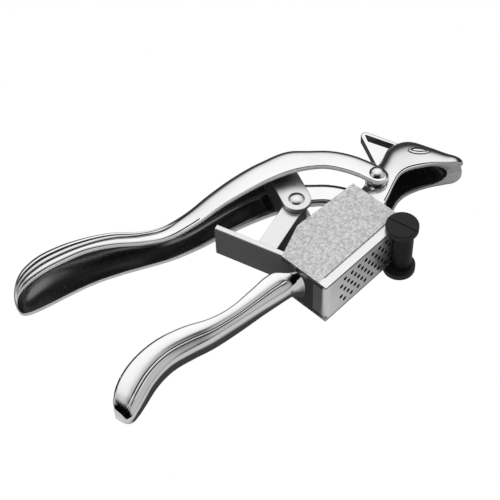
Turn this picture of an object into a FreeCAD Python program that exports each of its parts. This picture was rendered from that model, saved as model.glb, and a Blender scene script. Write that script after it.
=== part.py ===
"""Garlic press in the shape of a long-nosed animal, lying on its side.

Millimetres. The origin is on the main pivot axis, at the plane the press rests on.
+X runs along the perforated face towards the head, +Y from that face to the mouth of the
hopper, and +Z along the pivot axes. The press is symmetric about the plane z = mid_z.
"""
import FreeCAD, Part
import math
import os

os.makedirs("parts", exist_ok=True)
V = FreeCAD.Vector

# ---- clearances ---------------------------------------------------------------------------
running = 0.05            # radial gap of a pin that turns in its hole, and of a washer's faces
sliding = 0.20            # gap between the cleaner and the rails it slides on

# ---- hopper -------------------------------------------------------------------------------
hopper_len = 49.3         # outside length along the perforated face
hopper_half = 11.5        # half width over the two side plates
face_to_pivot = 24.1      # perforated face to the main pivot, along Y
hopper_to_pivot = 10.1    # head end of the hopper to the main pivot, along X
back_height = 24.3        # height of the side plates at the handle end
mouth_height = 30.7       # height of the side plates where the sloping corner ends
neck_height = 29.0        # height of the side plates at the head end
slope_len = 16.2          # length of the sloping corner, along X
wall = 2.0                # side walls of the casting
end_wall = 1.5
side_plate_t = 1.0
sieve_t = 1.6
tray_height = 7.0         # how far the sieve's turned-up ends reach
corner_r = 3.0

# ---- sieve holes --------------------------------------------------------------------------
hole_d = 2.1
hole_pitch_x = 4.3
hole_pitch_z = 3.4
hole_rows = 5
holes_in_long_row = 8

# ---- plunger ------------------------------------------------------------------------------
pin_x = -30.0             # plunger pin in the resting pose, from the main pivot
pin_y = 19.2
plunger_tilt = -74.5      # degrees the plunger hangs away from square to the sieve, at rest
pin_to_plate = 28.6       # pin axis to the near face of the plate
plate_t = 2.6
plate_gap = 0.45          # plate to each end wall
plate_side_gap = 0.30     # plate to each side wall
arm_width = 8.6
arm_half = 4.8

# ---- pivots -------------------------------------------------------------------------------
main_shank_r = 2.0
plunger_shank_r = 1.8
head_r = 3.6
main_head_h = 1.5
plunger_head_h = 1.1
washer_t = 0.5
washer_r = 4.4
neck_half = 10.6
fork_t = 2.4
fork_end_r = 4.9
ear_t = 1.8               # each ear of the plunger bracket
ear_r = 6.3
ear_len = 30.0
ear_free = 14.0           # length of each bracket ear below the channel
ear_lean = 24.0           # degrees from Y towards X

# ---- levers -------------------------------------------------------------------------------
handle_wall = 2.0
section_power = 2.6       # roundness of a channel's back: 2 is an ellipse, more is squarer
ear_half = 2.2            # half thickness of the animal's ear
ear_web = 1.2             # web left between the ear's two hollows

# ---- cleaner ------------------------------------------------------------------------------
cleaner_from_end = 5.3    # its axis to the head end of the hopper, at rest
cleaner_from_face = 2.6   # its axis to the perforated face
cleaner_cap_r = 7.0
cleaner_half = 14.6
cleaner_core_r = 4.3
bar_shift = 0.7           # the bar's axis from the caps' axis, along +X and along -Y
cleaner_stud_r = 1.6
cleaner_stud_len = 4.0
cap_slot_w = 0.5
cap_slot_depth = 0.4
cap_slot_angle = 100.0    # degrees from X
cap_edge_r = 0.5
rail_width = 4.0          # middle of the rail groove to the perforated face
groove_w = 0.7
groove_depth = 0.5
groove_start = 3.6        # from the handle end of the hopper
hook_w = 0.4
hook_len = 3.0
hook_depth = 0.35

# ---- worked out ---------------------------------------------------------------------------
fork_inner = neck_half + washer_t + 2 * running
fork_outer = fork_inner + fork_t
mid_z = fork_outer + running + main_head_h
x_head_end = -hopper_to_pivot
x_handle_end = x_head_end - hopper_len
y_face = -face_to_pivot
y_sieve_top = y_face + sieve_t
cavity_x0 = x_handle_end + end_wall
cavity_x1 = x_head_end - end_wall
casting_half = hopper_half - side_plate_t
cavity_half = casting_half - wall + 0.1
plate_len = cavity_x1 - cavity_x0 - 2 * plate_gap
plate_half = cavity_half - plate_side_gap
ear_inner = arm_half + washer_t + 2 * running
ear_outer = ear_inner + ear_t
relief_r = math.hypot(plate_len / 2, pin_to_plate + plate_t) + 0.5
cleaner_x = x_head_end - cleaner_from_end
cleaner_y = y_face - cleaner_from_face
cap_inner = hopper_half + sliding


# ---- helpers ------------------------------------------------------------------------------
def sound(shape):
    """Checks a step's result, so that an unsound solid stops the build where it is made."""
    if not shape.isValid() or shape.Volume <= 0:
        raise ValueError("unsound solid")
    return shape


def prism(points, z0, z1):
    """A straight-sided block over a flat outline, between two heights from the mid-plane."""
    corners = [V(x, y, mid_z + z0) for x, y in points]
    face = Part.Face(Part.makePolygon(corners + corners[:1]))
    return face.extrude(V(0, 0, z1 - z0))


def box(x0, x1, y0, y1, z0, z1):
    return prism([(x0, y0), (x1, y0), (x1, y1), (x0, y1)], z0, z1)


def rod(x, y, r, z0, z1):
    return Part.makeCylinder(r, z1 - z0, V(x, y, mid_z + z0), V(0, 0, 1))


def both_sides(shape):
    """The shape and its mirror image on the other side of the mid-plane."""
    return shape.mirror(V(0, 0, mid_z), V(0, 0, 1))


def curved_outline(edges, z0, z1):
    """A block whose outline is a list of point lists: two points make a line, more a spline."""
    parts = []
    for points in edges:
        at = [V(x, y, mid_z + z0) for x, y in points]
        if len(at) == 2:
            parts.append(Part.makeLine(at[0], at[1]))
        else:
            curve = Part.BSplineCurve()
            curve.interpolate(at)
            parts.append(curve.toShape())
    return Part.Face(Part.Wire(parts)).extrude(V(0, 0, z1 - z0))


def channel_section(rim, back, half, inset, lip):
    """Closed wire of one channel section, from the rim to the rounded back."""
    across = V(back[0] - rim[0], back[1] - rim[1], 0)
    depth = across.Length - inset
    across.normalize()
    half = half - inset
    steps = 8
    curve_points = []
    for i in range(steps + 1):
        t = math.pi * i / steps
        c, s = math.cos(t), math.sin(t)
        z = half * math.copysign(abs(c) ** (2 / section_power), c)
        d = depth * abs(s) ** (2 / section_power)
        curve_points.append(V(rim[0], rim[1], mid_z + z) + across * d)
    curve = Part.BSplineCurve()
    curve.interpolate(curve_points)
    low, high = curve_points[-1], curve_points[0]
    if not lip:
        return Part.Wire([curve.toShape(), Part.makeLine(low, high)])
    out = across * -lip
    sides = [Part.makeLine(low, low + out), Part.makeLine(low + out, high + out)]
    return Part.Wire([curve.toShape()] + sides + [Part.makeLine(high + out, high)])


def channel(stations, inset=0.0, lip=0.0):
    """Solid lofted through stations of (rim x, rim y, back x, back y, half width)."""
    wires = [channel_section(s[0:2], s[2:4], s[4], inset, lip) for s in stations]
    return sound(Part.makeLoft(wires, True, False))


def dome_rivet(x, y, shank_r, inner, head_h, flat_far):
    """A rivet with a domed near head and, where it carries the press, a flat far head."""
    sphere_r = (head_r ** 2 + head_h ** 2) / (2 * head_h)
    cap = rod(x, y, head_r, inner, inner + head_h)
    ball = Part.makeSphere(sphere_r, V(x, y, mid_z + inner + head_h - sphere_r))
    near = cap.common(ball)
    shank = rod(x, y, shank_r, -inner, inner)
    if flat_far:
        far = rod(x, y, head_r, -inner - head_h, -inner)
        rim = [e for e in far.Edges if e.BoundBox.ZMax < mid_z - inner - head_h + 0.01]
        far = far.makeFillet(head_h * 0.6, rim[:1])
    else:
        far = both_sides(near)
    return shank.fuse([near, far]).removeSplitter()


def washer(x, y, bore_r, z0):
    return rod(x, y, washer_r, z0, z0 + washer_t).cut(rod(x, y, bore_r, z0 - 1, z0 + washer_t + 1))


def save(name, shape):
    """Writes one piece, which has to be a single sound solid."""
    if len(shape.Solids) != 1:
        raise ValueError(name + " is not one solid")
    shape = sound(shape.Solids[0])
    shape.exportStep("parts/%s.step" % name)
    size = shape.BoundBox
    print("%-22s volume %6.0f  size %6.1f %6.1f %6.1f" % (
        name, shape.Volume, size.XLength, size.YLength, size.ZLength))


# ---- hopper pieces ------------------------------------------------------------------------
def hopper_outline():
    return [
        (x_handle_end, y_face),
        (x_head_end, y_face),
        (x_head_end, y_face + neck_height),
        (x_handle_end + slope_len, y_face + mouth_height),
        (x_handle_end, y_face + back_height),
    ]


def rounded_block(half):
    """The hopper's outline as a block, its two corners at the perforated face rounded."""
    block = prism(hopper_outline(), -half, half)
    upright = [
        e for e in block.Edges
        if abs(e.BoundBox.YMax - y_face) < 0.01 and e.BoundBox.ZLength > half
    ]
    return block.makeFillet(corner_r, upright)


def cavity():
    """Everything inside the end walls, from the sieve's top face up through the mouth."""
    return box(cavity_x0, cavity_x1, y_sieve_top, 60, -cavity_half, cavity_half)


def sieve_tray():
    everywhere = 100
    block = rounded_block(casting_half - running)
    face = block.common(box(-everywhere, everywhere, y_face, y_sieve_top, -everywhere, everywhere))
    ends = block.common(
        box(-everywhere, everywhere, y_sieve_top, y_face + tray_height, -cavity_half, cavity_half)
    )
    tray = face.fuse(ends.cut(cavity())).removeSplitter()
    middle = (cavity_x0 + cavity_x1) / 2
    holes = []
    for row in range(hole_rows):
        count = holes_in_long_row - (row + 1) % 2
        z = mid_z + (row - (hole_rows - 1) / 2) * hole_pitch_z
        for column in range(count):
            x = middle + (column - (count - 1) / 2) * hole_pitch_x
            holes.append(
                Part.makeCylinder(hole_d / 2, sieve_t + 2, V(x, y_face - 1, z), V(0, 1, 0))
            )
    return tray.cut(holes)


def side_plate():
    """Flat near side plate, with the groove that guides the cleaner."""
    plate = prism(hopper_outline(), casting_half, hopper_half)
    y = y_face + rail_width
    groove = box(
        x_handle_end + groove_start, x_head_end + 1, y - groove_w / 2, y + groove_w / 2,
        hopper_half - groove_depth, hopper_half + 1,
    )
    return plate.cut(groove)


# ---- lower lever --------------------------------------------------------------------------
# Each station: rim x, rim y, back x, back y, half width.
lower_handle = [
    (-153.4, 0.2, -152.6, -3.6, 6.0),
    (-151.8, 2.6, -148.6, -6.6, 7.2),
    (-146.0, 6.4, -142.0, -4.6, 7.6),
    (-135.5, 10.0, -133.0, -1.6, 7.6),
    (-122.0, 10.4, -122.6, -0.4, 7.6),
    (-109.5, 7.0, -112.8, -2.2, 7.5),
    (-100.5, 2.6, -104.0, -4.4, 7.3),
    (-91.0, 0.2, -92.0, -6.2, 7.0),
    (-77.3, 0.2, -77.3, -8.0, 6.8),
    (-66.0, 0.4, -66.0, -9.6, 6.8),
    (-58.0, 0.4, -58.0, -11.0, 7.0),
]
head = [
    (-11.0, -12.0, -11.0, 4.4, casting_half),
    (-5.0, -10.4, -5.0, 5.0, casting_half),
    (2.0, -7.6, 3.0, 6.4, 10.4),
    (8.5, -5.6, 12.5, 9.4, 10.0),
    (14.0, -6.0, 22.4, 12.0, 9.2),
    (19.5, -8.4, 30.6, 8.8, 8.4),
    (25.0, -11.8, 34.4, -0.8, 7.8),
    (29.5, -15.4, 36.6, -9.2, 7.2),
    (33.0, -18.0, 38.0, -13.4, 6.6),
    (35.8, -18.8, 38.2, -16.2, 5.0),
]


def ear():
    """Upright pointed ear: a triangular frame with a thin web between its hollows."""
    outer = [(10.5, 8.0), (26.6, 10.6), (22.6, 26.0), (20.6, 26.8), (19.0, 25.4)]
    inner = [(14.2, 11.0), (23.8, 13.0), (21.0, 23.4)]
    frame = prism(outer, -ear_half, ear_half)
    upright = [e for e in frame.Edges if e.BoundBox.ZLength > ear_half and e.BoundBox.YMin > 20]
    frame = frame.makeFillet(0.5, upright)
    hollow = prism(inner, ear_web / 2, ear_half + 1)
    return frame.cut([hollow, both_sides(hollow)])


def lower_lever():
    """One casting: hollow handle, hopper walls, neck with the pivot boss, hollow head and ear."""
    everywhere = 100
    relief = rod(pin_x, pin_y, relief_r, -cavity_half, cavity_half)
    relief = relief.common(
        box(x_handle_end - 8, cavity_x0 + 1, -everywhere, everywhere, -everywhere, everywhere)
    )
    boss = rod(0, 0, washer_r + 0.6, -neck_half, neck_half)
    handle = sound(channel(lower_handle).cut(channel(lower_handle[1:], handle_wall, 3.0)))
    handle = sound(handle.cut(relief))
    neck = sound(channel(head).cut(channel(head[:-2], handle_wall, 3.0)))
    neck = sound(neck.fuse([boss, ear()]).cut(rod(0, 0, main_shank_r, -30, 30)))
    block = rounded_block(casting_half).cut(cavity())
    block = block.cut(
        box(-everywhere, everywhere, y_face - 1, y_sieve_top, -everywhere, everywhere)
    )
    ends = y_face + tray_height
    block = block.cut(
        box(-everywhere, everywhere, y_face - 1, ends, -cavity_half, cavity_half)
    )
    block = sound(block.cut(relief))
    return sound(sound(block.fuse(handle)).fuse(neck))


# ---- upper lever --------------------------------------------------------------------------
upper_handle = [
    (-146.4, 67.6, -145.6, 70.0, 4.2),
    (-144.8, 67.8, -142.0, 74.2, 7.4),
    (-140.0, 67.4, -136.2, 77.8, 10.2),
    (-131.6, 66.2, -127.0, 78.8, 11.8),
    (-121.5, 64.0, -116.6, 76.6, 12.1),
    (-111.7, 61.0, -106.6, 72.2, 11.8),
    (-101.5, 55.7, -95.8, 66.0, 10.6),
    (-92.3, 49.4, -87.2, 58.6, 8.8),
    (-82.3, 43.6, -78.6, 53.0, 8.0),
    (-69.8, 40.0, -67.8, 50.2, 9.0),
    (-56.2, 38.0, -54.0, 49.2, 10.8),
    (-43.6, 35.2, -40.4, 47.6, 11.7),
    (-31.3, 31.4, -25.6, 44.2, fork_outer - 1.4),
    (-21.5, 26.8, -14.0, 37.6, fork_outer - 0.8),
]
arm_top = [(-26.0, 38.0), (-19.0, 36.8), (-12.2, 33.6), (-4.2, 26.4), (1.6, 16.6), (4.9, 0.0)]
arm_bottom = [(-4.9, 0.0), (-7.2, 10.0), (-12.2, 19.6), (-21.5, 27.2), (-29.0, 31.4)]


def fork_arm():
    """Near arm of the fork, from the channel's wall to the main pivot."""
    end = Part.makeCylinder(
        fork_end_r, fork_t, V(0, 0, mid_z + fork_inner), V(0, 0, 1)
    )
    bar = curved_outline(
        [arm_top, [arm_top[-1], arm_bottom[0]], arm_bottom, [arm_bottom[-1], arm_top[0]]],
        fork_inner, fork_outer,
    )
    return bar.fuse(end)


def plunger_ear(channel_solid):
    """Near ear of the bracket that carries the plunger, reaching up into the channel's back."""
    lean = math.radians(ear_lean)
    along = V(math.sin(lean), math.cos(lean), 0)
    side = V(math.cos(lean), -math.sin(lean), 0)
    pin = V(pin_x, pin_y, 0)

    def strip(start, end):
        corners = [
            pin - side * ear_r + along * start,
            pin + side * ear_r + along * start,
            pin + side * ear_r + along * end,
            pin - side * ear_r + along * end,
        ]
        return prism([(c.x, c.y) for c in corners], ear_inner, ear_outer)

    inside = strip(ear_free - 1, ear_len).common(channel_solid)
    tip = rod(pin_x, pin_y, ear_r, ear_inner, ear_outer)
    return sound(strip(0, ear_free).fuse([tip, inside]).removeSplitter())


def upper_lever():
    """One casting: channelled handle, fork with two arms, and the bracket's two ears."""
    outside = channel(upper_handle)
    body = outside.cut(channel(upper_handle[2:], handle_wall, 4.0))
    body = body.cut(box(-20.0, 30, -30, 60, -fork_inner, fork_inner))
    arm = fork_arm()
    body = sound(body.fuse(arm).fuse(both_sides(arm)))
    bracket_ear = plunger_ear(outside)
    body = sound(body.fuse(bracket_ear).fuse(both_sides(bracket_ear)))
    body = body.cut(rod(0, 0, main_shank_r + running, -30, 30))
    return body.cut(rod(pin_x, pin_y, plunger_shank_r, -30, 30))


# ---- plunger ------------------------------------------------------------------------------
def plunger():
    """T-shaped plunger, drawn square to the sieve and then turned to its resting tilt."""
    half = plate_len / 2
    plate_y = pin_y - pin_to_plate
    plate = box(pin_x - half, pin_x + half, plate_y - plate_t, plate_y, -plate_half, plate_half)
    corners = [
        e for e in plate.Edges
        if e.BoundBox.XLength > half and e.BoundBox.YMax < plate_y - plate_t + 0.01
    ]
    plate = plate.makeChamfer(0.4, corners)
    arm = box(
        pin_x - arm_width / 2, pin_x + arm_width / 2, plate_y - 0.5, pin_y, -arm_half, arm_half
    )
    tip = rod(pin_x, pin_y, arm_width / 2, -arm_half, arm_half)
    body = plate.fuse([arm, tip]).removeSplitter()
    body = body.cut(rod(pin_x, pin_y, plunger_shank_r + running, -30, 30))
    body.rotate(V(pin_x, pin_y, 0), V(0, 0, 1), plunger_tilt)
    return body


# ---- cleaner ------------------------------------------------------------------------------
def cleaner_bar():
    """Bar across the sieve, with a flat side that scrapes it and a hole for each cap's stud."""
    x, y = cleaner_x + bar_shift, cleaner_y - bar_shift
    bar = rod(x, y, cleaner_core_r, -cap_inner, cap_inner)
    flat_y = y_face - sliding
    bar = bar.cut(box(cleaner_x - 20, cleaner_x + 20, flat_y, flat_y + 20, -30, 30))
    stud = rod(cleaner_x, cleaner_y, cleaner_stud_r, cap_inner - cleaner_stud_len, cap_inner)
    return bar.cut([stud, both_sides(stud)])


def cleaner_cap():
    """Near end cap: a slotted disc, its stud, and the small hook that rides in the groove."""
    disc = rod(cleaner_x, cleaner_y, cleaner_cap_r, cap_inner, cleaner_half)
    rim = [e for e in disc.Edges if e.BoundBox.ZMin > mid_z + cleaner_half - 0.01]
    disc = disc.makeFillet(cap_edge_r, rim[:1])
    slot = Part.makeBox(
        4 * cleaner_cap_r, cap_slot_w, 1,
        V(-2 * cleaner_cap_r, -cap_slot_w / 2, cleaner_half - cap_slot_depth),
    )
    slot.rotate(V(0, 0, 0), V(0, 0, 1), cap_slot_angle)
    slot.translate(V(cleaner_x, cleaner_y, mid_z))
    stud = rod(cleaner_x, cleaner_y, cleaner_stud_r, cap_inner - cleaner_stud_len, cap_inner)
    y = y_face + rail_width
    hook = box(
        cleaner_x - hook_len / 2, cleaner_x + hook_len / 2, y - hook_w / 2, y + hook_w / 2,
        hopper_half - hook_depth, cap_inner,
    )
    return disc.cut(slot).fuse([stud, hook]).removeSplitter()


# ---- build --------------------------------------------------------------------------------
save("lower_lever", lower_lever())
save("sieve_tray", sieve_tray())
save("side_plate_near", side_plate())
save("side_plate_far", both_sides(side_plate()))
save("main_rivet", dome_rivet(0, 0, main_shank_r, fork_outer + running, main_head_h, True))
main_washer = washer(0, 0, main_shank_r + running, neck_half + running)
save("main_washer_near", main_washer)
save("main_washer_far", both_sides(main_washer))
save("upper_lever", upper_lever())
save("plunger_rivet", dome_rivet(pin_x, pin_y, plunger_shank_r, ear_outer, plunger_head_h, False))
plunger_washer = washer(pin_x, pin_y, plunger_shank_r + running, arm_half + running)
save("plunger_washer_near", plunger_washer)
save("plunger_washer_far", both_sides(plunger_washer))
save("plunger", plunger())
save("cleaner_bar", cleaner_bar())
save("cleaner_cap_near", cleaner_cap())
save("cleaner_cap_far", both_sides(cleaner_cap()))
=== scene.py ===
# %% [markdown]
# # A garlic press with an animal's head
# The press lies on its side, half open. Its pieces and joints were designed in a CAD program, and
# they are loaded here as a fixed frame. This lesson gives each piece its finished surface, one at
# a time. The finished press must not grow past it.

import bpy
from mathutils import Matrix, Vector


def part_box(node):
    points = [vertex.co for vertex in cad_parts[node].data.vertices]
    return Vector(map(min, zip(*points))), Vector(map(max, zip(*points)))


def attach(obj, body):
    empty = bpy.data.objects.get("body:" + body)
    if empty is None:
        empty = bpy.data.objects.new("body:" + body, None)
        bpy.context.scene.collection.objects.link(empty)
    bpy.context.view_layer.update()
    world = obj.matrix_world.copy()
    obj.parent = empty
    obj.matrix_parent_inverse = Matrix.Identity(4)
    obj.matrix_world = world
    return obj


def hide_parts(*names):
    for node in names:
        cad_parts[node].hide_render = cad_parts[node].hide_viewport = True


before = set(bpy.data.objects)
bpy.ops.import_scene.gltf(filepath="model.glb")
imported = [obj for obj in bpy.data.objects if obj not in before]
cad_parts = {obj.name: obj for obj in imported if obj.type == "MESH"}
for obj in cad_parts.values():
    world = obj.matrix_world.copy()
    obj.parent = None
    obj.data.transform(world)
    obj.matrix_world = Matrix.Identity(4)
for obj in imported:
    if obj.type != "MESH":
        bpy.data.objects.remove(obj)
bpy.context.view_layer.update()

# %% [markdown]
# ## Units and places
# Blender works in metres, but a kitchen tool is easier to think of in millimetres. So every length
# is typed in millimetres and multiplied by `mm`. The press is nearly the same on both sides of one
# plane, which goes through the middle of the plunger's pin, so heights are counted from there.

# %% Units and places
import math

import bmesh
import bpy
from mathutils import Matrix, Vector

mm = 0.001


def middle(node_name):
    low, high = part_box(node_name)
    return (low + high) / 2


pin = middle("plunger_rivet")
mid_z = pin.z


def at(x, y, z=0.0):
    """A point typed in millimetres, with z measured from the press's middle plane."""
    return Vector((x * mm, y * mm, mid_z + z * mm))


print("middle plane at", round(mid_z / mm, 2), "mm, pin at", [round(c / mm, 2) for c in pin])

# %% [markdown]
# ## Where the camera looks from
# The camera looks down on the press from the side of the handles. Two angles and a small roll are
# enough to say so. They give three axes: `back` points from the press to the camera, and `right`
# and `top` lie along the edges of its view. Pointing a camera with a constraint is quicker, but
# three written axes leave nothing to chance, and the studio's lamps can use them too.

# %% Camera axes
azimuth, elevation, roll = math.radians(-43.9), math.radians(51.6), math.radians(-2.72)
back = Vector((
    math.sin(azimuth) * math.cos(elevation),
    -math.cos(azimuth) * math.cos(elevation),
    math.sin(elevation),
))
level = Vector((math.cos(azimuth), math.sin(azimuth), 0))
upward = back.cross(level)
right = math.cos(roll) * level + math.sin(roll) * upward
top = -math.sin(roll) * level + math.cos(roll) * upward
print("the camera stands toward", [round(c, 2) for c in back])

# %% [markdown]
# ## Camera
# A long lens from over half a metre away keeps the two handles in proportion, as in a catalogue.
# The three axes become the columns of the camera's matrix. The Standard view leaves white white.

# %% Camera
target = Vector((-65.9, 12.0, 26.65)) * mm
distance = 560 * mm
camera_data = bpy.data.cameras.new("camera")
camera_data.lens = 98.3
camera_data.sensor_width = 36
camera_data.clip_start = 0.01
camera = bpy.data.objects.new("camera", camera_data)
turn = Matrix((right, top, back)).transposed().to_4x4()
camera.matrix_world = Matrix.Translation(target + back * distance) @ turn
bpy.context.scene.collection.objects.link(camera)
bpy.context.scene.camera = camera
bpy.context.scene.view_settings.view_transform = "Standard"
print("camera at", [round(c / mm) for c in camera.matrix_world.translation], "mm")

# %% [markdown]
# ## Two helpers for shader nodes
# Worlds and materials are both trees of nodes, and a script that builds them repeats two moves: add
# a node with some settings, and turn a number into a grey. Writing each once keeps the trees short
# enough to read.


# %% Node helpers
def node(tree, kind, **settings):
    """Adds a node. A setting that names an input goes to its value, another to the node itself."""
    made = tree.nodes.new(kind)
    for name, value in settings.items():
        if name in made.inputs:
            made.inputs[name].default_value = value
        else:
            setattr(made, name, value)
    return made


def ramp(tree, source, stops):
    """A colour ramp over a value from 0 to 1. The stops are pairs of position and grey."""
    made = tree.nodes.new("ShaderNodeValToRGB")
    elements = made.color_ramp.elements
    while len(elements) < len(stops):
        elements.new(0.5)
    for element, (position, grey) in zip(elements, stops):
        element.position = position
        element.color = (grey, grey, grey, 1)
    tree.links.new(source, made.inputs["Fac"])
    return made.outputs["Color"]


print("two helpers ready")

# %% [markdown]
# ## Studio: what the chrome sees
# Polished metal shows the room more than itself, so the room is designed first. Area lamps would
# do, but they also light everything else, and their edges are hard to place in a curved mirror. A
# world of three soft patches on black gives the same reflections with full control: a large soft
# box behind and above the press, a small one to the side, and a grey card in front of the nose.

# %% Reflected studio
world = bpy.data.worlds.new("studio")
bpy.context.scene.world = world
world.use_nodes = True
studio = world.node_tree
studio.nodes.clear()
direction = node(studio, "ShaderNodeTexCoord").outputs["Generated"]
away = Vector((-back.x, -back.y, 0)).normalized()


def facing(toward):
    """How much a direction points toward another, from 0 (opposite) to 1 (the same)."""
    dot = node(studio, "ShaderNodeVectorMath", operation="DOT_PRODUCT")
    dot.inputs[1].default_value = toward.normalized()
    studio.links.new(direction, dot.inputs[0])
    half = node(studio, "ShaderNodeMath", operation="MULTIPLY_ADD")
    half.inputs[1].default_value = 0.5
    half.inputs[2].default_value = 0.5
    studio.links.new(dot.outputs["Value"], half.inputs[0])
    return half.outputs[0]


def added(first, second):
    """Two patches of light as one."""
    both = node(studio, "ShaderNodeMixRGB", blend_type="ADD", Fac=1.0)
    studio.links.new(first, both.inputs[1])
    studio.links.new(second, both.inputs[2])
    return both.outputs[0]


over_press = away * 0.55 + Vector((0, 0, 0.83))
beside_press = Vector((0, 0, 0.7)) - level
before_nose = Vector((0.55, -0.74, 0.45))
soft_box = ramp(studio, facing(over_press), [(0.76, 0.0), (0.85, 0.09), (0.93, 0.74), (1.0, 0.97)])
side_box = ramp(studio, facing(beside_press), [(0.95, 0.0), (0.98, 0.5)])
front_card = ramp(studio, facing(before_nose), [(0.86, 0.0), (0.95, 0.42), (1.0, 0.5)])
reflections = added(added(soft_box, side_box), front_card)
print("a studio with three patches of light")

# %% [markdown]
# ## Studio: what lights the press
# Everything that isn't a mirror is lit by an even, soft white, as on a table for small wares. The
# light path node tells the two uses of the world apart: rays that left a shiny surface see the
# patches, and all others see the white.

# %% Even light
seen = node(studio, "ShaderNodeBackground", Strength=1.15)
studio.links.new(reflections, seen.inputs["Color"])
even = node(studio, "ShaderNodeBackground", Strength=1.1, Color=(1, 1, 1, 1))
rays = node(studio, "ShaderNodeLightPath")
choose = node(studio, "ShaderNodeMixShader")
studio.links.new(rays.outputs["Is Glossy Ray"], choose.inputs[0])
studio.links.new(even.outputs[0], choose.inputs[1])
studio.links.new(seen.outputs[0], choose.inputs[2])
studio.links.new(choose.outputs[0], node(studio, "ShaderNodeOutputWorld").inputs["Surface"])
print("world tree of", len(studio.nodes), "nodes")

# %% [markdown]
# ## From a bmesh to an object
# Every piece is made in a bmesh and ends the same way: shaded smooth except over sharp edges, given
# its materials, and linked at the origin, so that patterns and joints agree about where it is.


# %% Object helper
def finished(name, bm, materials, smooth_angle=40, levels=0):
    """Turns a bmesh into an object at the origin, smooth up to an angle in degrees."""
    mesh = bpy.data.meshes.new(name)
    bm.normal_update()
    for face in bm.faces:
        face.smooth = True
    for edge in bm.edges:
        edge.smooth = edge.calc_face_angle(0) < math.radians(smooth_angle)
    bm.to_mesh(mesh)
    bm.free()
    for material in materials:
        mesh.materials.append(material)
    made = bpy.data.objects.new(name, mesh)
    bpy.context.scene.collection.objects.link(made)
    if levels:
        subdivide = made.modifiers.new("smooth", "SUBSURF")
        subdivide.levels = subdivide.render_levels = levels
    print(name, "has", len(mesh.polygons), "faces before subdivision")
    return made


# %% [markdown]
# ## Floor card
# The floor is a white sheet that glows a little, so it stays an even white without shadows. In the
# chrome a white floor would wipe out the dark lines that make metal look like metal. So shiny
# rays see a dark card instead, which turns lighter in front of the press and beyond the handles.


# %% Floor material
def fade(tree, source, start, end, low=0.0, high=1.0):
    """A value that goes from low to high while the source goes from start to end, in millimetres."""
    made = node(tree, "ShaderNodeMapRange")
    made.inputs["From Min"].default_value = start * mm
    made.inputs["From Max"].default_value = end * mm
    made.inputs["To Min"].default_value = low
    made.inputs["To Max"].default_value = high
    tree.links.new(source, made.inputs["Value"])
    return made.outputs[0]


def combined(tree, operation, first, second):
    """One Math node between two values."""
    made = node(tree, "ShaderNodeMath", operation=operation)
    tree.links.new(first, made.inputs[0])
    tree.links.new(second, made.inputs[1])
    return made.outputs[0]


floor_card = bpy.data.materials.new("floor_card")
floor_card.use_nodes = True
card = floor_card.node_tree
card.nodes.clear()
axes = node(card, "ShaderNodeSeparateXYZ")
card.links.new(node(card, "ShaderNodeTexCoord").outputs["Object"], axes.inputs[0])
in_front = fade(card, axes.outputs["Y"], -18, -28)
toward_nose = fade(card, axes.outputs["X"], -54, -24, 1.0, 0.5)
past_handles = fade(card, axes.outputs["X"], -146, -156)
lighter = combined(card, "MAXIMUM", combined(card, "MULTIPLY", in_front, toward_nose), past_handles)
grey = node(card, "ShaderNodeEmission")
card.links.new(ramp(card, lighter, [(0.0, 0.05), (1.0, 0.62)]), grey.inputs["Color"])
white = node(card, "ShaderNodeEmission", Color=(1, 1, 1, 1), Strength=1.0)
path = node(card, "ShaderNodeLightPath")
mix = node(card, "ShaderNodeMixShader")
card.links.new(path.outputs["Is Glossy Ray"], mix.inputs[0])
card.links.new(white.outputs[0], mix.inputs[1])
card.links.new(grey.outputs[0], mix.inputs[2])
card.links.new(mix.outputs[0], node(card, "ShaderNodeOutputMaterial").inputs["Surface"])
print("floor card of", len(card.nodes), "nodes")

# %% [markdown]
# ## Floor
# One large square is enough.

# %% Floor
bm = bmesh.new()
bmesh.ops.create_grid(bm, x_segments=1, y_segments=1, size=1.5)
finished("floor", bm, [floor_card])

# %% [markdown]
# ## Metals and plastic
# Every finish starts from one Principled shader. A flat colour never looks like metal, because
# handling leaves it a little uneven. So one noise in object coordinates varies roughness and
# colour in wide smears, and a second, finer noise makes a bump at the scale of the casting's grain.


# %% Finish builder
wipe_scale, wipe_tint = 35.0, 0.04


def finish(name, grey, metallic, rough, grain, grain_bump, shine=0.5):
    """A metal or a plastic: rough is (low, high), and grain is the size of its texture in mm."""
    made = bpy.data.materials.new(name)
    made.use_nodes = True
    nodes = made.node_tree
    shader = nodes.nodes["Principled BSDF"]
    shader.inputs["Metallic"].default_value = metallic
    shader.inputs["Specular IOR Level"].default_value = shine
    place = node(nodes, "ShaderNodeTexCoord").outputs["Object"]
    smear = node(nodes, "ShaderNodeTexNoise", Scale=wipe_scale, Detail=4.0, Roughness=0.6)
    fine = node(nodes, "ShaderNodeTexNoise", Scale=1 / (grain * mm), Detail=3.0, Roughness=0.55)
    nodes.links.new(place, smear.inputs["Vector"])
    nodes.links.new(place, fine.inputs["Vector"])
    roughness = node(nodes, "ShaderNodeMapRange")
    roughness.inputs["To Min"].default_value = rough[0]
    roughness.inputs["To Max"].default_value = rough[1]
    nodes.links.new(smear.outputs["Fac"], roughness.inputs["Value"])
    nodes.links.new(roughness.outputs[0], shader.inputs["Roughness"])
    tints = [(0.3, grey * (1 - wipe_tint)), (0.7, grey * (1 + wipe_tint))]
    nodes.links.new(ramp(nodes, smear.outputs["Fac"], tints), shader.inputs["Base Color"])
    bump = node(nodes, "ShaderNodeBump", Strength=grain_bump, Distance=grain * mm * 0.3)
    nodes.links.new(fine.outputs["Fac"], bump.inputs["Height"])
    nodes.links.new(bump.outputs[0], shader.inputs["Normal"])
    print("finish", name)
    return made
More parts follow.
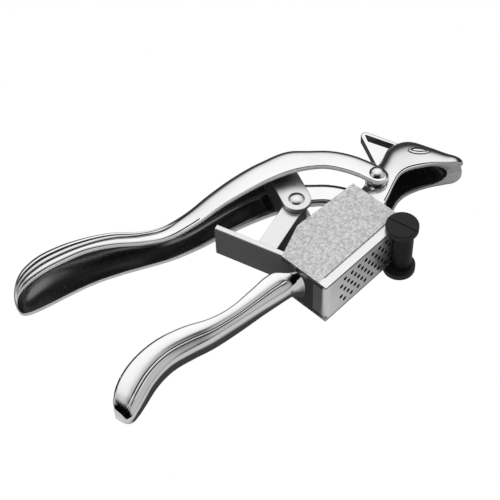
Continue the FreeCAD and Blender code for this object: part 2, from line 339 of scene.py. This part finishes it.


# %% [markdown]
# ## Finishes of the castings
# The outside is polished chrome. The hollow of a handle is rougher and painted darker, a painted
# shade for its inside, and the thin grooves between the raised bands are painted black as shade. The
# rims are buffed by hand, and the underside of the snout keeps more of its cast grey.

# %% Casting finishes
chrome = finish("polished_chrome", 0.86, 1.0, (0.03, 0.09), 0.9, 0.02)
satin_chrome = finish("satin_chrome", 0.80, 1.0, (0.26, 0.34), 0.7, 0.03)
painted_shade_chrome = finish("chrome_with_painted_shade", 0.30, 1.0, (0.16, 0.32), 0.9, 0.05)
# Black with painted shade, for grooves, the plates' thin sides, the sieve's holes and the eyes'
# rings.
painted_shade_black = finish("black_with_painted_shade", 0.02, 0.6, (0.4, 0.6), 0.4, 0.1)
rim_metal = finish("buffed_rim", 0.86, 0.5, (0.25, 0.35), 0.5, 0.05)
snout_metal = finish("cast_snout", 0.42, 0.6, (0.25, 0.4), 0.5, 0.05)

# %% [markdown]
# ## Finishes of the small pieces
# Rivets are polished by their own tool, washers are plain, and the sieve and the plunger are sheet
# and ground metal with a silky surface. The cleaner is black plastic, blacker where it is shaded.

# %% Small finishes
rivet_steel = finish("polished_rivet", 0.84, 1.0, (0.08, 0.16), 0.6, 0.05)
washer_steel = finish("plain_washer", 0.35, 1.0, (0.25, 0.4), 0.5, 0.1)
sieve_steel = finish("satin_sheet", 0.76, 1.0, (0.24, 0.32), 0.4, 0.05)
ground = finish("ground_edges", 0.80, 1.0, (0.28, 0.36), 0.5, 0.05)
# Dark grey with painted shade, for the plunger's faces that are not ground.
painted_shade_grey = finish("grey_with_painted_shade", 0.16, 0.6, (0.45, 0.55), 0.5, 0.08)
plastic = finish("black_plastic", 0.010, 0.0, (0.35, 0.5), 0.35, 0.12, shine=0.22)
shaded_plastic = finish("shaded_plastic", 0.004, 0.0, (0.3, 0.45), 0.35, 0.12, shine=0.2)

# %% [markdown]
# ## Sand-textured plate with a polished rail
# The press's two side plates are blasted with coarse sand, all but a rail along their lower edge.
# Modelling the grains would take millions of faces. A mottled noise for the colour and a finer one
# for the bump look the same, and one step across the plate's height switches both off on the rail.

# %% Sanded plate
plate_low, plate_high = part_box("side_plate_near")
rail_width, rail_edge = 4.0 * mm, 0.05 * mm
rail_top = plate_low.y + rail_width

sanded = bpy.data.materials.new("sanded_plate")
sanded.use_nodes = True
nodes = sanded.node_tree
shader = nodes.nodes["Principled BSDF"]
shader.inputs["Metallic"].default_value = 0.75
place = node(nodes, "ShaderNodeTexCoord").outputs["Object"]
axes = node(nodes, "ShaderNodeSeparateXYZ")
nodes.links.new(place, axes.inputs[0])
above = fade(nodes, axes.outputs["Y"], (rail_top - rail_edge) / mm, (rail_top + rail_edge) / mm)
mottle = node(nodes, "ShaderNodeTexNoise", Scale=800.0, Detail=3.0, Roughness=0.75)
sand = node(nodes, "ShaderNodeTexNoise", Scale=2600.0, Detail=2.0, Roughness=0.7)
nodes.links.new(place, mottle.inputs["Vector"])
nodes.links.new(place, sand.inputs["Vector"])
colour = node(nodes, "ShaderNodeMixRGB")
colour.inputs[1].default_value = (0.80, 0.80, 0.80, 1)
nodes.links.new(above, colour.inputs[0])
nodes.links.new(ramp(nodes, mottle.outputs["Fac"], [(0.36, 0.46), (0.64, 0.80)]), colour.inputs[2])
nodes.links.new(colour.outputs[0], shader.inputs["Base Color"])
rough = node(nodes, "ShaderNodeMapRange")
rough.inputs["To Min"].default_value = 0.22
rough.inputs["To Max"].default_value = 0.55
nodes.links.new(above, rough.inputs["Value"])
nodes.links.new(rough.outputs[0], shader.inputs["Roughness"])
bump = node(nodes, "ShaderNodeBump", Strength=0.5, Distance=0.10 * mm)
nodes.links.new(combined(nodes, "MULTIPLY", above, sand.outputs["Fac"]), bump.inputs["Height"])
nodes.links.new(bump.outputs[0], shader.inputs["Normal"])
print("sand above y =", round(rail_top / mm, 2), "mm")

# %% [markdown]
# ## Hollow castings
# Both levers are thin-walled channels that swell, narrow and bend along their length. A box that is
# pulled into shape by hand would have lumps. So a short table of stations says where the rim is,
# where the line of the back is, and how wide the channel is, and a smooth curve runs through the
# stations. It is the same idea as the ribs of a boat.


# %% Curve through stations
def through(stations, position):
    """The station at a position from 0 to 1 along a smooth curve through the table's rows."""
    rows = [Vector(row) for row in stations]
    spans = [max((b - a).length, 0.01) for a, b in zip(rows, rows[1:])]
    scaled = min(max(position, 0), 1) * (len(rows) - 1)
    i = min(int(scaled), len(rows) - 2)
    t = scaled - i

    def slope(k):
        if k == 0 or k == len(rows) - 1:
            j = min(k, len(rows) - 2)
            return (rows[j + 1] - rows[j]) / spans[j]
        before, after = spans[k - 1], spans[k]
        steps = (rows[k] - rows[k - 1]) / before, (rows[k + 1] - rows[k]) / after
        return (steps[0] * after + steps[1] * before) / (before + after)

    leave, arrive = slope(i) * spans[i], slope(i + 1) * spans[i]
    first, second = rows[i], rows[i + 1]
    return (
        first * (2 * t**3 - 3 * t**2 + 1) + leave * (t**3 - 2 * t**2 + t)
        + second * (3 * t**2 - 2 * t**3) + arrive * (t**3 - t**2)
    )


def clamp(value):
    return min(max(value, 0.0), 1.0)


print("stations are joined by a smooth curve")

# %% [markdown]
# ## One section of a channel
# Across its length, a channel is half of a rounded box. A superellipse draws that with one number:
# a power of 2 is an ellipse, and larger powers are boxier. The inset makes the inner wall from the
# same station, and the lift raises a band or sinks a groove along the surface's normal.


# %% Section of a channel
def section_point(station, angle, power, inset=(0.0, 0.0), lift=0.0):
    """A point of one section. The angle runs from 0 at the near rim to 180 at the far rim."""
    rim, crest = Vector(station[0:2]), Vector(station[2:4])
    across = crest - rim
    depth, half = across.length - inset[0], station[4] - inset[1]
    across.normalize()
    c, s = math.cos(math.radians(angle)), math.sin(math.radians(angle))
    z = half * math.copysign(abs(c) ** (2 / power), c)
    d = depth * abs(s) ** (2 / power)
    if lift:
        normal = Vector((d / max(depth, 1) ** 2, z / max(half, 1) ** 2)).normalized()
        d, z = d + normal.x * lift, z + normal.y * lift
    spot = rim + across * max(d, 0)
    return at(spot.x, spot.y, z)


def depth_of(station):
    return (Vector(station[2:4]) - Vector(station[0:2])).length


print("sections are halves of a rounded box")

# %% [markdown]
# ## Raised bands
# The handles carry long raised bands with thin grooves between them. Even columns of faces would
# miss such thin lines, so the columns are bunched. A list of key angles names the sides of every
# groove, and each stretch between two keys gets the same number of columns.


# %% Raised bands
def grooved(u, keys, height=0.0, depth=0.0):
    """Angle and lift at u: grooves lie between the odd key angles and bands between the others."""
    share = min(u, 1 - u) * 2 * (len(keys) - 1)
    i = min(int(share + 1e-6), len(keys) - 2)
    t = share - i
    angle = keys[i] + (keys[i + 1] - keys[i]) * t
    if i % 2:
        lift = -depth * (1 - abs(2 * t - 1))
    else:
        t = max(t, 0.5) if i == 0 else t
        t = min(t, 0.5) if i == len(keys) - 2 else t
        lift = height * (1 - abs(2 * t - 1) ** 3)
    return (angle if u <= 0.5 else 180 - angle), lift


print("bands and grooves share the columns")

# %% [markdown]
# ## From two sheets to a shell
# A plain grid is bent over the sections twice: once for the outside and once, smaller, for the
# inside. Then the open edges of the two sheets are bridged, which makes the rim. A Solidify
# modifier would be shorter, but the wall of a casting isn't equally thick all over, and the inner
# hollow ends before the outer tip does. A crease keeps grooves and rims crisp when the surface is
# subdivided.

# %% Shell builder
CHROME, HOLLOW, RIM, GROOVE = range(4)
rim_sharpness, groove_sharpness = 0.7, 0.6


def bent_sheet(bm, rows, columns, place, gap, face_finish, groove_crease):
    """Bends a grid with the function place, which takes s along and u across, both 0 to 1.

    The gap says where faces are left out. The edges of the sheet's closed tip are returned.
    """
    grid = bmesh.ops.create_grid(bm, x_segments=rows, y_segments=columns, size=0.5)["verts"]
    where = {v: (v.co.x + 0.5, v.co.y + 0.5) for v in grid}
    centre = {}
    for face in {f for v in grid for f in v.link_faces}:
        spots = [where[v] for v in face.verts]
        centre[face] = (sum(p[0] for p in spots) / 4, sum(p[1] for p in spots) / 4)
    lost = [f for f, spot in centre.items() if gap and gap(*spot)]
    for face, spot in centre.items():
        face.material_index = face_finish(*spot)
    bmesh.ops.delete(bm, geom=lost, context="FACES")
    crease = bm.edges.layers.float["crease_edge"]
    tip = []
    for edge in {e for v in grid if v.is_valid for e in v.link_edges}:
        ends = [where[v] for v in edge.verts]
        lines = {round(end[1] * columns) for end in ends}
        if groove_crease and len(lines) == 1:
            edge[crease] = groove_crease(ends[0][0], lines.pop())
        if max(end[0] for end in ends) < 0.001:
            tip.append(edge)
    for v in grid:
        if v.is_valid:
            v.co = place(*where[v])
    return tip


# The inside of a channel gets the chrome with painted shade.
def hollow(s, u):
    return HOLLOW


def shell(
    name, outside, inside, rows, columns, rim, outer_finish,
    inner_finish=hollow, gap=None, groove_crease=None,
):
    """Bends two grids with the functions outside and inside, and bridges their open edges."""
    bm = bmesh.new()
    crease = bm.edges.layers.float.new("crease_edge")
    tips = bent_sheet(bm, rows, columns, outside, gap, outer_finish, groove_crease)
    tips += bent_sheet(bm, rows, columns, inside, gap, inner_finish, None)
    rims = [e for e in bm.edges if e.is_boundary]
    for edge in rims:
        edge[crease] = 0.0 if edge in tips else rim_sharpness
    for face in bmesh.ops.bridge_loops(bm, edges=rims)["faces"]:
        face.material_index = RIM
    bmesh.ops.recalc_face_normals(bm, faces=bm.faces)
    if bm.calc_volume(signed=True) < 0:
        bmesh.ops.reverse_faces(bm, faces=bm.faces)
    return finished(name, bm, [chrome, painted_shade_chrome, rim, painted_shade_black], 180, levels=1)


print("shells are two bent sheets with bridged rims")

# %% [markdown]
# ## Upper lever: its stations
# The upper lever starts as a deep spoon for the palm, thins to a waist, and swells again over the
# fork. Its back stops at `web_end`, and two flat arms go on to the main rivet, where they end in a
# half circle.

# %% Upper lever stations
# rim x, rim y, crest x, crest y, half width, boxiness, wall
upper_stations = [
    (-146.0, 67.7, -145.8, 68.6, 0.6, 0.0, 2.0),
    (-145.6, 67.7, -144.9, 70.6, 4.4, 0.0, 2.0),
    (-144.2, 67.7, -142.3, 73.4, 7.4, 0.0, 1.9),
    (-140.6, 67.5, -137.2, 77.0, 10.0, 0.0, 1.8),
    (-132.6, 66.4, -128.2, 78.8, 11.8, 0.0, 1.7),
    (-121.5, 64.0, -116.6, 76.6, 12.1, 0.0, 1.7),
    (-111.7, 61.0, -106.6, 72.2, 11.8, 0.0, 1.7),
    (-101.5, 55.7, -95.8, 66.0, 10.6, 0.0, 1.7),
    (-92.3, 49.4, -87.2, 58.6, 8.8, 0.0, 1.7),
    (-82.3, 43.6, -78.6, 53.0, 8.0, 0.1, 1.7),
    (-69.8, 40.0, -67.8, 50.2, 9.0, 0.2, 1.8),
    (-56.2, 38.0, -54.0, 49.2, 10.8, 0.35, 2.0),
    (-43.6, 35.2, -40.4, 47.6, 11.9, 0.55, 2.2),
    (-31.3, 31.4, -25.6, 43.6, 13.0, 0.8, 2.4),
    (-21.5, 26.8, -14.6, 37.2, 13.5, 1.0, 2.4),
    (-16.6, 23.4, -9.2, 31.4, 13.6, 1.0, 2.4),
    (-11.6, 18.6, -3.0, 24.6, 13.6, 1.0, 2.4),
    (-8.0, 11.8, 1.5, 16.4, 13.6, 1.0, 2.4),
    (-5.8, 5.0, 4.0, 7.6, 13.6, 1.0, 2.4),
    (-4.9, 0.0, 4.9, 0.0, 13.6, 1.0, 2.4),
    (-4.3, -2.4, 4.3, -2.4, 13.6, 1.0, 2.4),
    (-2.9, -4.0, 2.9, -4.0, 13.6, 1.0, 2.4),
    (-1.0, -4.85, 1.0, -4.85, 13.6, 1.0, 2.4),
]
last_web_station = 14
web_end = last_web_station / (len(upper_stations) - 1)
print(len(upper_stations), "stations for the upper lever, and the back stops at", round(web_end, 2))

# %% [markdown]
# ## Upper lever: its grooves
# Four grooves run along each side of the handle. They climb toward the back where the handle
# widens into the fork, and they fade out one after the other, as they do where a polishing wheel
# takes over from the mould. The groove nearest the rim stays close to it.

# %% Upper lever grooves
line_widths = (0.6, 1.9, 4.2, 2.4)
line_ends = (-57, -75, -84)
least_width, shown_from = 0.25, 0.15
upper_rows, upper_columns, arm_columns = 110, 72, 22


def upper_lines(x):
    """For each groove, from the rim up: its angle and how far it is present, 0 to 1."""
    rise = clamp((x + 112) / 60)
    start = clamp((x + 146) / 8)
    angles = 12 + 26 * rise, 26 + 22 * rise, 40 + 18 * rise
    bands = [(angle, start * clamp((end - x) / 14)) for angle, end in zip(angles, line_ends)]
    return [(1.2, start * clamp((-64 - x) / 14))] + bands


def upper_crease(s, line):
    part = min(line, upper_columns - line) // 4
    presence = upper_lines(through(upper_stations, s)[0])[2][1]
    return groove_sharpness * presence if line % 4 == 0 and 0 < part < 9 else 0.0


# Faces in a groove are painted black as shade.
def upper_finish(s, u):
    part = int(min(u, 1 - u) * 18)
    present = upper_lines(through(upper_stations, s)[0])[min(part // 2, 3)][1]
    return GROOVE if part % 2 and present > shown_from else CHROME


print("grooves at the palm:", [round(angle) for angle, present in upper_lines(-120)], "degrees")

# %% [markdown]
# ## Upper lever: outside and inside
# The outside follows the stations and their bands, and turns from round to boxy toward the fork.
# Where it carries bands it starts a little smaller, so that the bands don't make the lever thicker.
# The inside is one wall smaller. At the palm it closes in a round pocket, and past the back it
# reaches right through, so that only the two arms are left.


# %% Upper lever
band_height, groove_depth, band_room = 0.45, 0.2, 0.4


def upper_outside(s, u):
    station = through(upper_stations, s)
    boxy = clamp(station[5])
    lines = upper_lines(station[0])
    keys = [0]
    for (angle, present), width in zip(lines, line_widths):
        half = least_width + (width - least_width) * present
        keys += [angle - half, angle + half]
    presence = lines[2][1]
    angle, lift = grooved(u, keys + [90], band_height * presence, groove_depth * presence)
    stretch = 1 + 0.12 * clamp((boxy - 0.8) / 0.2)
    rim, crest = Vector(station[0:2]), Vector(station[2:4])
    station[2:4] = rim + (crest - rim) * stretch
    room = band_room * presence
    return section_point(station, angle, 2.6 + 2.4 * boxy, (room, room), lift)


def upper_inside(s, u):
    station = through(upper_stations, 0.012 + 0.988 * s)
    wall, boxy = station[6], clamp(station[5])
    close = min(1, (s * 16) ** 0.5)
    past_web = clamp((s - web_end) * 40)
    depth = depth_of(station)
    station[4] = (station[4] - wall) * close
    inset = depth - (depth - wall * (1 - past_web)) * close
    angle, _ = grooved(u, [0, 10, 20, 30, 40, 48, 56, 65, 77, 90])
    return section_point(station, angle, 2.6 + 9 * boxy, (inset, 0.0))


def between_arms(s, u):
    return s > web_end and min(u, 1 - u) > arm_columns / upper_columns


# Inside, the back up to the web gets the chrome with painted shade.
upper = shell(
    "upper_lever_casting", upper_outside, upper_inside, upper_rows, upper_columns, rim_metal,
    upper_finish, inner_finish=lambda s, u: HOLLOW if s < web_end else CHROME,
    gap=between_arms, groove_crease=upper_crease,
)
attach(upper, "upper_press")
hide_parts("upper_lever")

# %% [markdown]
# ## Lower handle: its stations
# The lower handle is slimmer, with a single groove on each side. Its rim drops near the hopper, to
# leave room for the plunger as it swings past, and the last stations flare into the hopper's wall.

# %% Lower handle stations
# rim x, rim y, crest x, crest y, half width
lower_stations = [
    (-153.4, 0.2, -152.9, -4.8, 0.6),
    (-153.1, 0.9, -152.3, -5.6, 2.8),
    (-151.8, 2.6, -149.9, -6.5, 4.9),
    (-149.0, 4.8, -146.2, -5.8, 6.3),
    (-144.6, 7.2, -141.0, -4.2, 7.2),
    (-135.5, 10.0, -133.0, -1.6, 7.6),
    (-122.0, 10.4, -122.6, -0.4, 7.6),
    (-109.5, 7.0, -112.8, -2.2, 7.5),
    (-100.5, 2.6, -104.0, -4.4, 7.3),
    (-91.0, 0.2, -92.0, -6.2, 7.0),
    (-77.3, 0.2, -77.3, -8.0, 6.8),
    (-68.0, 0.3, -68.0, -9.4, 6.8),
    (-65.2, -0.4, -65.2, -9.8, 6.8),
    (-62.8, -2.9, -62.8, -10.2, 6.7),
    (-60.8, -5.6, -60.8, -11.2, 7.0),
    (-59.2, -7.6, -59.2, -12.8, 8.2),
]
lower_wall, lower_rows, lower_columns = 1.8, 90, 40
print(len(lower_stations), "stations for the lower handle")

# %% [markdown]
# ## Lower handle: its two sheets
# The same builder makes this handle. Only the functions differ: one groove instead of four, faded
# at both ends, and a plain round pocket inside.


# %% Lower handle
def lower_presence(s):
    """How far the groove is present, 0 to 1."""
    x = through(lower_stations, s)[0]
    return clamp((x + 152) / 6) * clamp((-64 - x) / 3)


def lower_outside(s, u):
    presence = lower_presence(s)
    half = 0.4 + 1.1 * presence
    keys = [0, 34 - half, 34 + half, 42 - half, 42 + half, 90]
    angle, lift = grooved(u, keys, 0.3 * presence, 0.15 * presence)
    inset = (0.25 * presence, 0.25 * presence)
    return section_point(through(lower_stations, s), angle, 2.6, inset, lift)


def lower_inside(s, u):
    station = through(lower_stations, 0.012 + 0.988 * s)
    close = min(1, (s * 14) ** 0.5)
    depth = depth_of(station)
    station[4] = (station[4] - lower_wall) * close
    inset = depth - (depth - lower_wall) * close
    angle, _ = grooved(u, [0, 18, 36, 54, 72, 90])
    return section_point(station, angle, 3.0, (inset, 0.0))


def lower_crease(s, line):
    part = min(line, lower_columns - line) // 4
    return groove_sharpness * lower_presence(s) if line % 4 == 0 and 0 < part < 5 else 0.0


# Faces in the groove are painted black as shade.
def lower_finish(s, u):
    in_groove = int(min(u, 1 - u) * 10) % 2
    return GROOVE if in_groove and lower_presence(s) > 0.3 else CHROME


lower = shell(
    "lower_handle_casting", lower_outside, lower_inside, lower_rows, lower_columns, rim_metal,
    lower_finish, groove_crease=lower_crease,
)
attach(lower, "lower_press")

# %% [markdown]
# ## The animal's head
# The other end of the lower casting is a long-nosed head, hollow from below like the handles. It is
# the third use of the builder, with a thin line of painted shade just above the rim. The hollow must
# end in a round pocket well before the snout, so the inner sheet covers only part of the stations,
# bunched toward the pocket's end.

# %% Head
# rim x, rim y, crest x, crest y, half width
head_stations = [
    (-10.0, -12.0, -10.0, 4.6, 10.5),
    (-5.0, -10.4, -5.0, 5.0, 10.5),
    (2.0, -7.6, 3.0, 6.4, 10.4),
    (8.5, -5.6, 12.5, 9.4, 10.0),
    (14.0, -6.0, 22.4, 12.0, 9.2),
    (19.5, -8.4, 30.6, 8.8, 8.4),
    (25.0, -11.8, 34.4, -0.8, 7.8),
    (29.5, -15.4, 36.6, -9.2, 7.2),
    (33.0, -18.0, 37.9, -13.4, 6.6),
    (35.6, -18.8, 38.1, -15.8, 4.8),
    (37.0, -18.0, 37.8, -16.8, 1.6),
]
head_wall, pocket_start, pocket_end = 1.6, 0.56, 0.70
head_rows, head_columns = 48, 40


def head_outside(s, u):
    share = min(u, 1 - u) * 2
    angle = 18 * share if share < 0.1 else 1.8 + 98 * (share - 0.1)
    return section_point(through(head_stations, s), angle if u <= 0.5 else 180 - angle, 2.3)


def head_inside(s, u):
    share = pocket_end * (1 - (1 - s) ** 2)
    station = through(head_stations, share)
    closing = clamp((share - pocket_start) / (pocket_end - pocket_start))
    close = math.sqrt(max(0, 1 - closing ** 2))
    depth = depth_of(station)
    station[4] = (station[4] - head_wall) * close
    inset = depth - (depth - head_wall) * close
    return section_point(station, u * 180, 2.6, (inset, 0.0))


# The thin line above the rim is painted black as shade.
def head_finish(s, u):
    return GROOVE if 0.05 < s < 0.86 and 0.02 < min(u, 1 - u) < 0.04 else CHROME


head = shell(
    "animal_head_casting", head_outside, head_inside, head_rows, head_columns, snout_metal,
    head_finish,
)
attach(head, "lower_press")

# %% [markdown]
# ## Pieces whose shape is already right
# The plates, the sieve, the plunger and the cleaner have the right shape in the frame. What they
# lack is soft edges: no real edge is perfectly sharp, and the thin highlight on an edge is what
# makes metal believable. A copy of each node is merged, its flat faces are joined up again, and its
# sharp edges are bevelled. Weighted normals then keep the flat faces flat to the eye.


# %% Softened copies
def softened(node_name, name, body, materials, edge, between=None):
    """A copy of a node with softened edges, cut to the part between two x places if given."""
    bm = bmesh.new()
    bm.from_mesh(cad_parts[node_name].data)
    bmesh.ops.remove_doubles(bm, verts=bm.verts, dist=0.002 * mm)
    for x, outward in zip(between or (), (-1, 1)):
        cut = bmesh.ops.bisect_plane(
            bm, geom=bm.verts[:] + bm.edges[:] + bm.faces[:], dist=1e-7,
            plane_co=(x, 0, 0), plane_no=(outward, 0, 0), clear_outer=True,
        )["geom_cut"]
        bmesh.ops.holes_fill(bm, edges=[g for g in cut if isinstance(g, bmesh.types.BMEdge)])
    bmesh.ops.dissolve_limit(bm, angle_limit=math.radians(0.5), verts=bm.verts, edges=bm.edges)
    if edge:
        soften(bm, [e for e in bm.edges if e.calc_face_angle(0) > math.radians(35)], edge, 2)
    made = finished(name, bm, materials, 50)
    made.modifiers.new("flat_faces", "WEIGHTED_NORMAL").keep_sharp = True
    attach(made, body)
    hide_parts(node_name)
    return made


def soften(bm, edges, width, segments):
    """Bevels edges by a width in millimetres."""
    bmesh.ops.bevel(
        bm, geom=edges, offset=width * mm, offset_type="OFFSET", segments=segments,
        profile=0.5, affect="EDGES", clamp_overlap=True, material=-1,
    )


print("edges of copied nodes can be softened")

# %% [markdown]
# ## Hopper and side plates
# The hopper is the middle of the lower casting. Two cuts free it from the handle and the head,
# which have their own skins now. Its end walls face the dark hollows and get the darker chrome of
# painted shade. The plates are sanded on their faces, and their thin sides are painted black as
# shade.

# %% Hopper and side plates
hopper = softened(
    "lower_lever", "hopper_casting", "lower_press", [chrome, painted_shade_chrome],
    0.15, between=(plate_low.x, plate_high.x),
)
# The end walls get the chrome with painted shade.
for face in hopper.data.polygons:
    face.material_index = 1 if abs(face.normal.x) > 0.9 else 0
for side in ("near", "far"):
    plate = softened(
        "side_plate_" + side, "side_plate_finished_" + side, "lower_press",
        [sanded, painted_shade_black], 0.12,
    )
    # The thin sides are painted black as a line of shade.
    for face in plate.data.polygons:
        face.material_index = 1 if abs(face.normal.z) < 0.3 else 0

# %% [markdown]
# ## Sieve
# The sieve is a thin tray with rows of round holes. The walls of the holes are painted black as
# shade, as the inside of a real hole is shaded, so that every hole reads as one even at a slant.

# %% Sieve
hole_span, wall_margin = 8.2 * mm, 4 * mm
sieve = softened(
    "sieve_tray", "sieve_finished", "lower_press", [sieve_steel, painted_shade_black], 0.0,
)
# The walls of the holes are painted black as shade.
for face in sieve.data.polygons:
    among_holes = (
        abs(face.center.z - mid_z) < hole_span
        and plate_low.x + wall_margin < face.center.x < plate_high.x - wall_margin
    )
    face.material_index = 1 if among_holes and abs(face.normal.y) < 0.5 else 0
print(sum(face.material_index for face in sieve.data.polygons), "faces line the sieve's holes")

# %% [markdown]
# ## Cleaner
# The cleaner is a spool of black plastic that slides along the sieve and scrapes it. Its bar lies
# in the shade of its two caps, so it gets the blacker finish.

# %% Cleaner
for side in ("near", "far"):
    softened(
        "cleaner_cap_" + side, "cleaner_cap_finished_" + side, "cleaner",
        [plastic], 0.0,
    )
softened(
    "cleaner_bar", "cleaner_bar_finished", "cleaner", [shaded_plastic], 0.2,
)

# %% [markdown]
# ## Plunger
# The plunger is cast, and the faces toward the two sides are ground metal. Its other faces are
# painted a dark grey as shade, chosen by the direction of each face.

# %% Plunger
plunger = softened(
    "plunger", "plunger_finished", "plunger", [ground, painted_shade_grey], 0.2,
)
# The faces that are not ground are painted dark grey as shade.
for face in plunger.data.polygons:
    face.material_index = 0 if abs(face.normal.z) > 0.6 else 1
print(sum(face.material_index for face in plunger.data.polygons), "faces of the plunger are cast")

# %% [markdown]
# ## Plunger bracket
# Two ears hang from the channel's back and carry the plunger's rivet. A cylinder joined to a box
# would leave a seam. Here the outline is one line: a single vertex is spun half a turn about the
# pin, and the two ends are pulled up into straight sides. Then the outline is filled, given its
# thickness, and bevelled.

# %% Bracket ears
ear_radius, ear_inner, ear_outer, ear_length = 6.3, 5.4, 7.2, 22.0
lean = math.radians(24)
ear_along = Vector((math.sin(lean), math.cos(lean), 0))
ear_side = Vector((math.cos(lean), -math.sin(lean), 0))


def bracket_ear(name, side):
    bm = bmesh.new()
    pin_at = Vector((pin.x, pin.y, mid_z + side * ear_inner * mm))
    start = bmesh.ops.create_vert(bm, co=pin_at + ear_side * ear_radius * mm)["vert"][0]
    bmesh.ops.spin(
        bm, geom=[start], cent=pin_at, axis=(0, 0, -1), angle=math.pi, steps=24, use_duplicate=False,
    )
    ends = [v for v in bm.verts if len(v.link_edges) == 1]
    raised = bmesh.ops.extrude_vert_indiv(bm, verts=ends)["verts"]
    bmesh.ops.translate(bm, verts=raised, vec=ear_along * ear_length * mm)
    bmesh.ops.contextual_create(bm, geom=raised)
    outline = bmesh.ops.contextual_create(bm, geom=bm.edges[:])["faces"]
    thicken(bm, outline, side * (ear_outer - ear_inner))
    soften(bm, [e for e in bm.edges if e.calc_face_angle(0) > 0.7], 0.35, 3)
    made = finished(name, bm, [satin_chrome], 50)
    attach(made, "upper_press")


def thicken(bm, outline, height):
    """Pulls a filled outline up by a height in millimetres."""
    grown = bmesh.ops.extrude_face_region(bm, geom=outline)["geom"]
    up = [g for g in grown if isinstance(g, bmesh.types.BMVert)]
    bmesh.ops.translate(bm, verts=up, vec=(0, 0, height * mm))
    bmesh.ops.recalc_face_normals(bm, faces=bm.faces)


bracket_ear("plunger_bracket_near", 1)
bracket_ear("plunger_bracket_far", -1)

# %% [markdown]
# ## Pivot boss
# Between the arms of the fork, the neck ends in a round boss that the main rivet goes through. It
# is a true cylinder on the real press, so it is one here, with its two edges rounded.

# %% Pivot boss
boss_radius, neck_half = 5.0, 10.6
bm = bmesh.new()
bmesh.ops.create_cone(
    bm, cap_ends=True, segments=48, radius1=boss_radius * mm, radius2=boss_radius * mm,
    depth=2 * neck_half * mm, matrix=Matrix.Translation(at(0, 0)),
)
soften(bm, [e for e in bm.edges if e.calc_face_angle(0) > 1], 0.4, 3)
boss = finished("pivot_boss", bm, [chrome], 50)
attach(boss, "lower_press")

# %% [markdown]
# ## The animal's ear
# The ear stands up from the crown as a flat triangle with a round tip, hollowed on both faces so
# that a frame is left. The outline is filled, thickened and bevelled first. The insets come last,
# because a bevel can't be wider than the thin faces that an inset leaves.

# %% Ear
ear_outline = [
    (9.5, 7.0), (27.6, 10.4), (23.6, 25.0), (22.9, 26.3), (21.8, 26.9), (20.4, 26.7), (19.3, 25.6),
]
ear_half, ear_web, ear_frame, ear_slope = 2.2, 0.2, 1.3, 0.3
bm = bmesh.new()
corners = [bmesh.ops.create_vert(bm, co=at(x, y, -ear_half))["vert"][0] for x, y in ear_outline]
thicken(bm, bmesh.ops.contextual_create(bm, geom=corners)["faces"], 2 * ear_half)
soften(bm, [e for e in bm.edges if e.calc_face_angle(0) > 0.6], 0.6, 4)
bm.normal_update()
flat = [f for f in bm.faces if abs(f.normal.z) > 0.99 and f.calc_area() > 20 * mm * mm]
bmesh.ops.inset_individual(bm, faces=flat, thickness=ear_frame * mm, depth=0)
hollowed = bmesh.ops.inset_individual(
    bm, faces=flat, thickness=ear_slope * mm, depth=-(ear_half - ear_web) * mm,
)["faces"]
# The hollows of the ear are painted darker as shade.
for face in hollowed:
    face.material_index = 1
animal_ear = finished("animal_ear", bm, [chrome, painted_shade_chrome], 50)
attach(animal_ear, "lower_press")

# %% [markdown]
# ## The eyes
# Each eye is a low almond ring with a small lens in it, raised a few tenths of a millimetre. A flat
# disc would sink into the curved cheek on one side and float on the other. So a circle is inset
# again and again, and every loop is laid on the head's own surface at its own height.

# %% Eyes
eye_s, eye_u, eye_segments = 0.525, 0.175, 32
# half length, half width and height of each loop, from the skin inward
eye_loops = [
    (5.4, 2.9, -0.6), (5.3, 2.8, 0.14), (4.8, 2.4, 0.16), (4.6, 2.2, 0.40), (4.0, 1.8, 0.40),
    (3.85, 1.65, 0.12), (3.1, 1.15, 0.10), (2.9, 1.0, 0.36), (1.4, 0.50, 0.50),
]
# These low loops of the ring are painted black as shade.
painted_shade_loops = (2, 5, 6)


def eye(name, side):
    """An almond ring round a raised lens, set on the head's skin."""
    u = eye_u if side > 0 else 1 - eye_u
    centre = head_outside(eye_s, u)
    along = (head_outside(eye_s + 0.01, u) - centre) / 0.01
    over = (head_outside(eye_s, u + 0.01) - centre) / 0.01
    out = along.cross(over).normalized()
    out *= math.copysign(1, out.z * side)
    bm = bmesh.new()
    bmesh.ops.create_circle(bm, segments=eye_segments, radius=1.0, cap_ends=True)
    face = bm.faces[:][0]
    turns = [math.tau * i / eye_segments for i in range(eye_segments)]
    for index, (length, width, height) in enumerate(eye_loops):
        if index:
            band = bmesh.ops.inset_individual(bm, faces=[face], thickness=0.001, depth=0)["faces"]
            for f in band:
                f.material_index = 1 if index in painted_shade_loops else 0
        for v, turn in zip(face.verts, turns):
            a = math.cos(turn) * length
            b = math.sin(turn) * abs(math.sin(turn)) ** 0.4 * width
            skin = head_outside(eye_s + a * mm / along.length, u + b * mm / over.length)
            v.co = skin + out * height * mm
    face.material_index = 0
    bmesh.ops.recalc_face_normals(bm, faces=bm.faces)
    made = finished(name, bm, [chrome, painted_shade_black], 50)
    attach(made, "lower_press")


eye("eye_near", 1)
eye("eye_far", -1)

# %% [markdown]
# ## Rivets
# Both rivets are set with a domed punch, so their heads are smooth and bright. The frame's shape is
# right and only needs softer edges. Each rivet rides on the body that holds it fast.

# %% Rivets
for name, body in (("main_rivet", "lower_press"), ("plunger_rivet", "upper_press")):
    softened(name, name + "_finished", body, [rivet_steel], 0.12)

# %% [markdown]
# ## Washers
# The washers are plain rings that barely show between the moving pieces. They stay as they are in
# the frame, and only get a new finish.

# %% Washers
for pivot in ("main", "plunger"):
    for side in ("near", "far"):
        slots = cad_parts[pivot + "_washer_" + side].data.materials
        slots.clear()
        slots.append(washer_steel)
print("4 washers have the finish", washer_steel.name)
